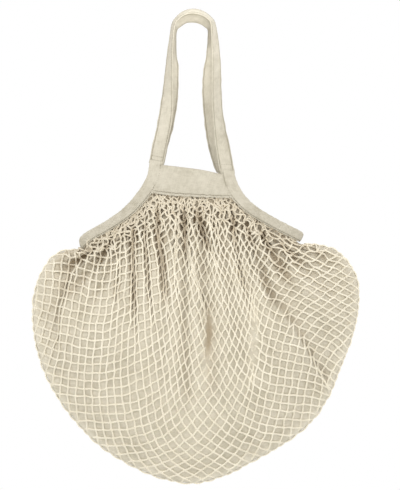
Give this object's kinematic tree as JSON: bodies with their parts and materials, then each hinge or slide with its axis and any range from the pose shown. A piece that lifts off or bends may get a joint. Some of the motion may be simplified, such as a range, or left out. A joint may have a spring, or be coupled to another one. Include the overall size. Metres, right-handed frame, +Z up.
{
  "type": "mesh produce bag",
  "caption": "Gathered cotton net pouch with a thin lining, cloth mouth bands, bound sides and two stitched strap handles.",
  "frame": {"origin": "hanging point: the underside of the handles where they bend over a hook or a hand", "axes": "+Z up along the bag's height, +X along its width to the right when seen from the front, -Y out of the front wall"},
  "size_m": [0.4215, 0.076, 0.6158],
  "materials": {
    "net_yarn": "undyed cotton yarn, matt",
    "lining_cloth": "thin undyed plain-weave cotton, matt",
    "canvas": "undyed cotton canvas, fine weave, matt",
    "thread": "undyed cotton sewing thread"
  },
  "bodies": {
    "sack": {"net_pouch": "net_yarn", "lining": "lining_cloth"},
    "front_mouth": {"front_band": "canvas", "front_left_binding": "canvas", "front_right_binding": "canvas", "front_band_stitching": "thread", "front_left_binding_stitching": "thread", "front_right_binding_stitching": "thread"},
    "rear_mouth": {"rear_band": "canvas", "rear_left_binding": "canvas", "rear_right_binding": "canvas", "rear_band_stitching": "thread", "rear_left_binding_stitching": "thread", "rear_right_binding_stitching": "thread"},
    "front_grip": {"front_handle": "canvas", "front_handle_stitching": "thread", "front_handle_join_stitching": "thread"},
    "rear_grip": {"rear_handle": "canvas", "rear_handle_stitching": "thread", "rear_handle_join_stitching": "thread"}
  },
  "joints": [
    {"name": "front_mouth_opening", "type": "hinge", "parent": "sack", "child": "front_mouth", "pos_m": [0, 0, -0.297], "axis": [1, 0, 0], "range_deg": [0, 25], "stiffness_Nm_per_rad": 0.3, "springref_deg": -8.59},
    {"name": "rear_mouth_opening", "type": "hinge", "parent": "sack", "child": "rear_mouth", "pos_m": [0, 0, -0.297], "axis": [-1, 0, 0], "range_deg": [0, 25], "stiffness_Nm_per_rad": 0.3, "springref_deg": -8.59},
    {"name": "front_handle_swing", "type": "hinge", "parent": "front_mouth", "child": "front_grip", "pos_m": [-0.0052, -0.0155, -0.187], "axis": [0.9915, 0, -0.1299], "range_deg": [0, 150]},
    {"name": "rear_handle_swing", "type": "hinge", "parent": "rear_mouth", "child": "rear_grip", "pos_m": [-0.0052, 0.0155, -0.187], "axis": [-0.9915, 0, 0.1299], "range_deg": [0, 150]}
  ]
}
